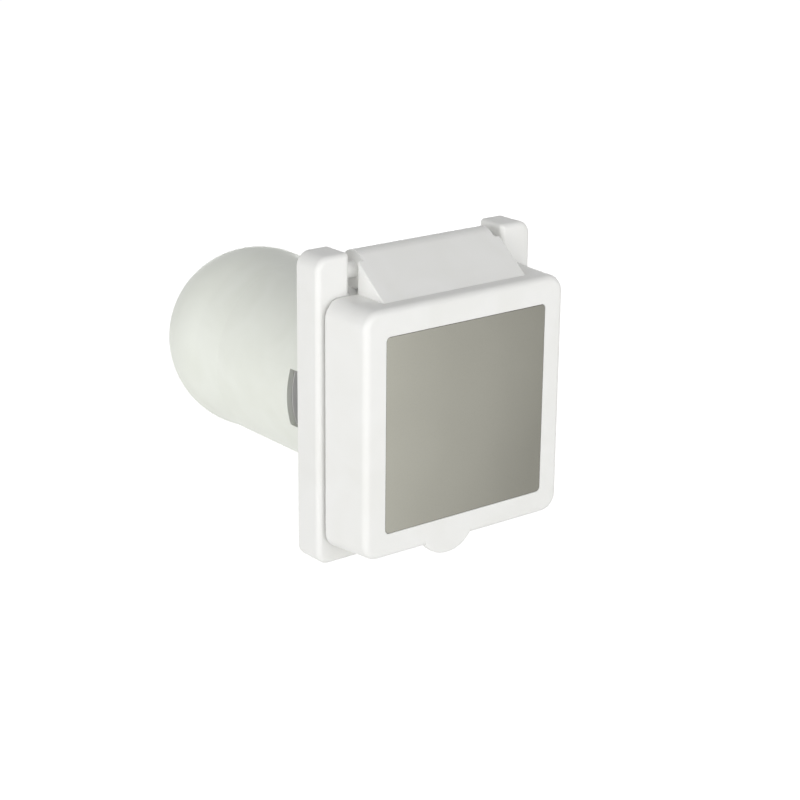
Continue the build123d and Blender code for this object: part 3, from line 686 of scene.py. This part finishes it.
@dataclass
class Lid(SubAssembly):
    """The hollow lid with its hinge block, the plate let into its front and the seal inside.

    Attributes:
        body: The lid turns on the hinge.
        edge_mm: Rounding of the lid's own edges.
        rim: Where the rim lies, in front of the mounting plane.
        rim_ease: Rounding of the rim's outer edge.
        top: Height of the lid's top face.
        block_half: Half the width of the hinge block.
        cheek_ease: Rounding round the hinge block's two sides.
        plate_corner: Corner radius of the plate.
        plate_edge: Rounding of the plate's rim.
        seal_bore: Radius of the hole in the seal.
        lip: Height of the seal's two lips.
        lip_inset: Each lip's middle in from the seal's edge, as a share of the seal's width.
        lip_half: Half a lip's width, as a share of the seal's width.
        outline_band: How far in from the lid's sides its outline's edges can lie.
        outline_drop: How far below the plate its outline's lower edges begin.
    """

    body: str = "lid"
    edge_mm: float = 0.45
    rim: float = -15.6
    rim_ease: float = 0.9
    top: float = 54.8
    block_half: float = 37.3
    cheek_ease: float = 0.8
    plate_corner: float = 1.8
    plate_edge: float = 0.12
    seal_bore: float = 22.55
    lip: float = 0.5
    lip_inset: float = 0.25
    lip_half: float = 0.16
    outline_band: float = 3.0
    outline_drop: float = 9.0

    def build(self) -> None:
        """Builds the shell, the plate and the seal."""
        self.place("lid_shell", self.shell(), Slot.HOUSING, "lid", edge_mm=self.edge_mm)
        self.place("lid_plate_sheet", self.plate(), Slot.FACE_PLATE, "lid_face_plate",
                   edge_mm=self.plate_edge)
        self.place("lid_seal_lipped", self.seal(), Slot.FOAM, "lid_seal")

    def shell(self) -> bmesh.types.BMesh:
        """Takes the lid's shape and eases its rim, which opens the seam, and the hinge block's sides.

        Returns:
            The shell's mesh.
        """
        bm = self.copy("lid")
        half = extent("lid", 0)[1] * MM
        rim = [e for e in bm.edges if self.on_plane(e, 1, self.rim) and self.outside(e, half)]
        ease(bm, rim, self.rim_ease)
        top = self.top * MM + 1e-4
        cheeks = [e for e in bm.edges if max(v.co.z for v in e.verts) > top
                  and (self.on_plane(e, 0, self.block_half) or self.on_plane(e, 0, -self.block_half))]
        ease(bm, cheeks, self.cheek_ease)
        LOG.info("lid shell: %d rim edges and %d cheek edges eased", len(rim), len(cheeks))
        return bm

    def on_plane(self, edge: bmesh.types.BMEdge, axis: int, place: float) -> bool:
        """Tells whether a sharp edge lies on a plane across an axis, given in millimetres."""
        flat = all(abs(v.co[axis] - place * MM) < 2e-5 for v in edge.verts)
        return flat and edge.calc_face_angle(0.0) > math.radians(30.0)

    def outside(self, edge: bmesh.types.BMEdge, half: float) -> bool:
        """Tells whether an edge of the rim lies on the lid's outline and not on its hollow.

        Args:
            edge: The edge.
            half: Half the lid's width, in metres.

        Returns:
            Whether it lies on the outline.
        """
        middle = (edge.verts[0].co + edge.verts[1].co) / 2
        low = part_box("lid_face_plate")[0].z
        return abs(middle.x) > half - self.outline_band * MM or middle.z < low - self.outline_drop * MM

    def plate(self) -> bmesh.types.BMesh:
        """Cuts the plate: a rounded rectangle from a grid, given its thickness.

        Returns:
            The plate's mesh.
        """
        low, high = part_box("lid_face_plate")
        middle = (low + high) / 2
        size = high - low
        bm = bmesh.new()
        bmesh.ops.create_grid(bm, x_segments=1, y_segments=1, size=0.5)
        bmesh.ops.scale(bm, verts=bm.verts, vec=(size.x, size.z, 1.0))
        bmesh.ops.bevel(bm, geom=bm.verts[:], offset=self.plate_corner * MM, offset_type="OFFSET",
                        segments=12, profile=0.5, affect="VERTICES", material=-1)
        bmesh.ops.rotate(bm, verts=bm.verts, cent=(0, 0, 0), matrix=Matrix.Rotation(math.pi / 2, 3, "X"))
        sheet = bmesh.ops.extrude_face_region(bm, geom=bm.faces[:])
        moved = [v for v in sheet["geom"] if isinstance(v, bmesh.types.BMVert)]
        bmesh.ops.translate(bm, verts=moved, vec=(0.0, size.y, 0.0))
        bmesh.ops.translate(bm, verts=bm.verts, vec=(middle.x, low.y, middle.z))
        bmesh.ops.recalc_face_normals(bm, faces=bm.faces)
        return bm

    def seal(self) -> bmesh.types.BMesh:
        """Turns the seal: a flat ring with two low lips that meet the collar.

        Returns:
            The seal's mesh.
        """
        back, front = extent("lid_seal", 1)
        outer = reach("lid_seal")
        width = outer - self.seal_bore
        inner = outer - width
        inset, half = width * self.lip_inset, width * self.lip_half
        bed = front - self.lip
        first = arc((inner + inset, bed), half, 180.0, 0.0, 8)
        second = arc((outer - inset, bed), half, 180.0, 0.0, 8)
        lips = [(r, bed + (y - bed) * self.lip / half) for r, y in first + second]
        return revolve([(inner, back), (inner, bed), *lips, (outer, bed), (outer, back)])


@dataclass
class Inlet(SubAssembly):
    """The threaded collar, the contact insert, its blades and their screws.

    Attributes:
        pitch: Pitch of the collar's thread.
        turns: Turns of the thread.
        crest: Radius over the thread.
        root: Radius of the plain part between the turns.
        bore: Radius of the collar's bore.
        flange_thick: Thickness of the clamped flange.
        seat: Where the thick root of the collar ends, at the front of the housing.
        mouth: Rounding of the bore's mouth.
        lead: Chamfer that leads a ring on to the thread.
        foot: Half the ridge's width at the root.
        shoulder: Half its width just under the crest.
        crest_half: Half the width of its flat crest.
        crest_ease: How far the shoulder lies under the crest.
        sunk: How deep the ridge's foot is sunk into the collar.
        first: Where the ridge starts behind the collar's front, in pitches.
        steps: Spans in one turn of the ridge.
    """

    pitch: float = 3.2
    turns: float = 3.6
    crest: float = 27.0
    root: float = 26.1
    bore: float = 22.5
    flange_thick: float = 3.0
    seat: float = -14.2
    mouth: float = 0.6
    lead: float = 0.8
    foot: float = 1.1
    shoulder: float = 0.45
    crest_half: float = 0.3
    crest_ease: float = 0.1
    sunk: float = 0.4
    first: float = 0.55
    steps: int = 96

    def build(self) -> None:
        """Builds the collar and blades, and dresses what they clamp."""
        self.place("collar_threaded", self.collar(), Slot.HOUSING, "inlet_collar", sharp_deg=28.0)
        self.place("contact_insert", self.copy("contact_carrier"), Slot.INSERT, "contact_carrier",
                   edge_mm=0.3)
        for name in ("ground", "hot", "neutral"):
            self.place(f"blade_{name}_strip", self.copy(f"blade_{name}"), Slot.BLADE, f"blade_{name}",
                       edge_mm=0.3)
        self.dress(Slot.RUBBER, "collar_gasket", "collar_o_ring")
        self.dress(Slot.STAINLESS, "carrier_screws")

    def collar(self) -> bmesh.types.BMesh:
        """Turns the collar and winds one ridge round it as a true helix.

        Returns:
            The collar's mesh, the ridge closed at both ends.
        """
        front, back = extent("inlet_collar", 1)
        clamp = reach("inlet_collar")
        shelf = back - self.flange_thick
        mouth = arc((self.bore + self.mouth, front + self.mouth), self.mouth, 180.0, 270.0, 6)
        bm = revolve([(self.bore, back), (self.bore, front + self.mouth), *mouth,
                      (self.root - self.lead, front), (self.root, front + self.lead),
                      (self.root, self.seat), (self.crest, self.seat), (self.crest, shelf),
                      (clamp, shelf), (clamp, back)])
        start = front + self.pitch * self.first
        flank = [(self.root - self.sunk, self.foot), (self.root, self.foot),
                 (self.crest - self.crest_ease, self.shoulder), (self.crest, self.crest_half)]
        profile = [(r, -y) for r, y in flank] + flank[::-1]
        ridge = [bm.verts.new((r * MM, (start + y) * MM, 0.0)) for r, y in profile]
        rim = [bm.edges.new(pair) for pair in zip(ridge, ridge[1:] + ridge[:1])]
        cap = bm.faces.new(ridge)
        steps = int(self.turns * self.steps)
        bmesh.ops.spin(bm, geom=[cap], cent=(0, 0, 0), axis=(0, 1, 0), angle=self.turns * math.tau,
                       dvec=(0.0, self.turns * self.pitch * MM / steps, 0.0), steps=steps,
                       use_merge=False, use_duplicate=False)
        bmesh.ops.recalc_face_normals(bm, faces=bm.faces)
        return bm


@dataclass
class Wiring(SubAssembly):
    """Terminal blocks and screws inside their insulating shroud."""

    def build(self) -> None:
        """Dresses the terminals and rounds the shroud's rim."""
        for name in ("ground", "hot", "neutral"):
            self.place(f"terminal_{name}_milled", self.copy(f"terminal_block_{name}"), Slot.TERMINAL,
                       f"terminal_block_{name}", edge_mm=0.12)
            self.dress(Slot.STAINLESS, f"terminal_screw_{name}")
        self.place("shroud_tube", self.copy("terminal_shroud"), Slot.INSERT, "terminal_shroud", edge_mm=0.3)


@dataclass
class RearEnclosure(SubAssembly):
    """The sleeve with its latch windows and the domed cap behind it.

    Attributes:
        wall: Wall of the cap.
        flat_wall: Wall of the cap's flat.
        dome_depth: The dome's centre to the flat.
        seam: Rounding of the cap's rim where it meets the sleeve.
        hole: Radius of the gland's hole.
        flat_edge: Rounding between the dome and the flat.
        flat_turn: How many degrees before the flat the dome's arc stops.
    """

    wall: float = 2.4
    flat_wall: float = 3.0
    dome_depth: float = 29.4
    seam: float = 0.35
    hole: float = 8.3
    flat_edge: float = 1.2
    flat_turn: float = 2.0

    def build(self) -> None:
        """Builds the sleeve and the cap, and dresses the ring between them."""
        self.place("sleeve_moulding", self.copy("rear_sleeve"), Slot.ENCLOSURE, "rear_sleeve", edge_mm=0.3)
        self.place("cap_dome", self.cap(), Slot.ENCLOSURE, "rear_cap", sharp_deg=24.0)
        self.dress(Slot.RUBBER, "cap_o_ring")

    def cap(self) -> bmesh.types.BMesh:
        """Turns the cap: a short straight part, a slightly wider dome and a flat with a hole.

        Returns:
            The cap's mesh.
        """
        rim, back = extent("rear_cap", 1)
        ball = reach("rear_cap")
        straight = reach("rear_sleeve")
        centre = back - self.dome_depth
        neck = math.degrees(math.asin(straight / ball))
        inner = ball - self.wall
        bore = straight - self.wall
        outside_turn = math.degrees(math.asin(self.dome_depth / ball)) - self.flat_turn
        inside_turn = math.degrees(math.asin((self.dome_depth - self.flat_wall) / inner))
        outside = arc((0.0, centre), ball, neck - 90.0, outside_turn, 48)
        inside = arc((0.0, centre), inner, inside_turn, math.degrees(math.asin(bore / inner)) - 90.0, 40)
        edge = arc((straight - self.seam, rim + self.seam), self.seam, -90.0, 0.0, 5)
        land = math.sqrt(ball ** 2 - self.dome_depth ** 2) - self.flat_edge
        return revolve([(bore, rim), *edge, *outside, (land, back), (self.hole, back),
                        (self.hole, back - self.flat_wall), *inside])


@dataclass
class CableGland(SubAssembly):
    """The gland with its washer, hexagons, seal and nuts."""

    edge_mm: float = 0.25

    def build(self) -> None:
        """Rounds the hexagons and dresses the rubber."""
        for node in ("gland_body", "gland_nut", "gland_locknut"):
            self.place(f"{node}_moulding", self.copy(node), Slot.GLAND, node, edge_mm=self.edge_mm)
        self.dress(Slot.RUBBER, "gland_seal", "gland_washer")


# --- Studio ---------------------------------------------------------------------------
@dataclass(frozen=True)
class SoftBox:
    """A long low soft box.

    Attributes:
        name: What it does.
        place: Where its middle stands, in metres.
        aim: What it points at.
        length: Its length along the floor, in metres.
        height: Its height, in metres.
        power: Its power in watts.
    """

    name: str
    place: Place
    aim: Place
    length: float
    height: float
    power: float

    def light(self) -> None:
        """Adds the soft box to the scene."""
        data = bpy.data.lights.new(self.name, "AREA")
        data.shape = "RECTANGLE"
        data.size = self.length
        data.size_y = self.height
        data.energy = self.power
        holder = bpy.data.objects.new(self.name, data)
        holder.location = self.place
        holder.rotation_euler = (Vector(self.aim) - Vector(self.place)).to_track_quat("-Z", "Y").to_euler()
        bpy.context.scene.collection.objects.link(holder)


@dataclass(frozen=True)
class Studio:
    """Camera, soft boxes, white surround and paper floor.

    Attributes:
        eye: The camera's place, in metres.
        right: The camera's right-hand direction.
        up: The camera's upward direction.
        lens: Focal length in millimetres.
        ambient: Strength of the surround for diffuse light.
        drop: How far the floor lies below the object, in metres.
        floor_half: Half the floor's width, in metres.
        paper: What the floor is made of.
        boxes: The soft boxes.
    """

    eye: Place = (-0.51054, -0.64654, 0.27473)
    right: Place = (0.78838, -0.61512, 0.00924)
    up: Place = (0.18868, 0.25607, 0.94807)
    lens: float = 91.82
    ambient: float = 0.36
    drop: float = 0.14
    floor_half: float = 6.0
    paper: StudioPaper = StudioPaper("seamless_white_paper", "#f1f1ef", 0.72)
    boxes: tuple[SoftBox, ...] = (
        SoftBox("left_soft_box", (-1.3, -0.3, 0.08), (0.0, -0.3, 0.08), 2.2, 0.6, 8.9),
        SoftBox("front_soft_box", (-0.3, -1.3, 0.34), (-0.3, 0.0, 0.2), 2.2, 0.8, 11.0),
        SoftBox("rear_fill", (1.1, 1.15, -0.06), (0.0, 0.08, -0.04), 1.4, 0.22, 4.0),
    )

    def build(self) -> None:
        """Sets up the view, the light and the floor."""
        self.aim_camera()
        self.surround()
        for box in self.boxes:
            box.light()
        self.lay_floor()

    def aim_camera(self) -> None:
        """Adds the camera at the product view's angle."""
        data = bpy.data.cameras.new("camera")
        data.lens = self.lens
        data.sensor_width = 36.0
        holder = bpy.data.objects.new("camera", data)
        right, up = Vector(self.right), Vector(self.up)
        turn = Matrix((right, up, right.cross(up))).transposed().to_4x4()
        holder.matrix_world = Matrix.Translation(self.eye) @ turn
        bpy.context.scene.collection.objects.link(holder)
        bpy.context.scene.camera = holder

    def surround(self) -> None:
        """Makes the world white to the eye and dimmer as a light."""
        world = bpy.data.worlds.new("surround")
        bpy.context.scene.world = world
        world.use_nodes = True
        tree = world.node_tree
        tree.nodes.clear()
        level = add_node(tree, "MapRange", {"Value": seen_directly(tree), "To Min": self.ambient,
                                            "To Max": 1.0})
        shade = add_node(tree, "Background", {"Color": (1.0, 1.0, 1.0, 1.0),
                                              "Strength": level.outputs["Result"]})
        add_node(tree, "OutputWorld", {"Surface": shade.outputs[0]})

    def lay_floor(self) -> None:
        """Lays the paper under the object."""
        bm = bmesh.new()
        bmesh.ops.create_grid(bm, x_segments=8, y_segments=8, size=self.floor_half)
        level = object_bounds()[0][2] - self.drop
        bmesh.ops.translate(bm, verts=bm.verts, vec=(0.0, 0.0, level))
        mesh = bpy.data.meshes.new("floor")
        bm.to_mesh(mesh)
        bm.free()
        mesh.materials.append(make_material(self.paper))
        floor = bpy.data.objects.new("floor", mesh)
        bpy.context.scene.collection.objects.link(floor)
        floor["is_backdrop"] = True


def main() -> None:
    """Builds the inlet and its studio."""
    logging.basicConfig(level=logging.INFO, format="%(name)s: %(message)s")
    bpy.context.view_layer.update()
    materials = {slot: make_material(finish) for slot, finish in FINISHES.items()}
    for assembly in (FlangeHousing, HingeHardware, Lid, Inlet, Wiring, RearEnclosure, CableGland):
        assembly(materials).build()
    bpy.context.scene.view_settings.view_transform = "Standard"
    Studio().build()


if __name__ == "__main__":
    main()
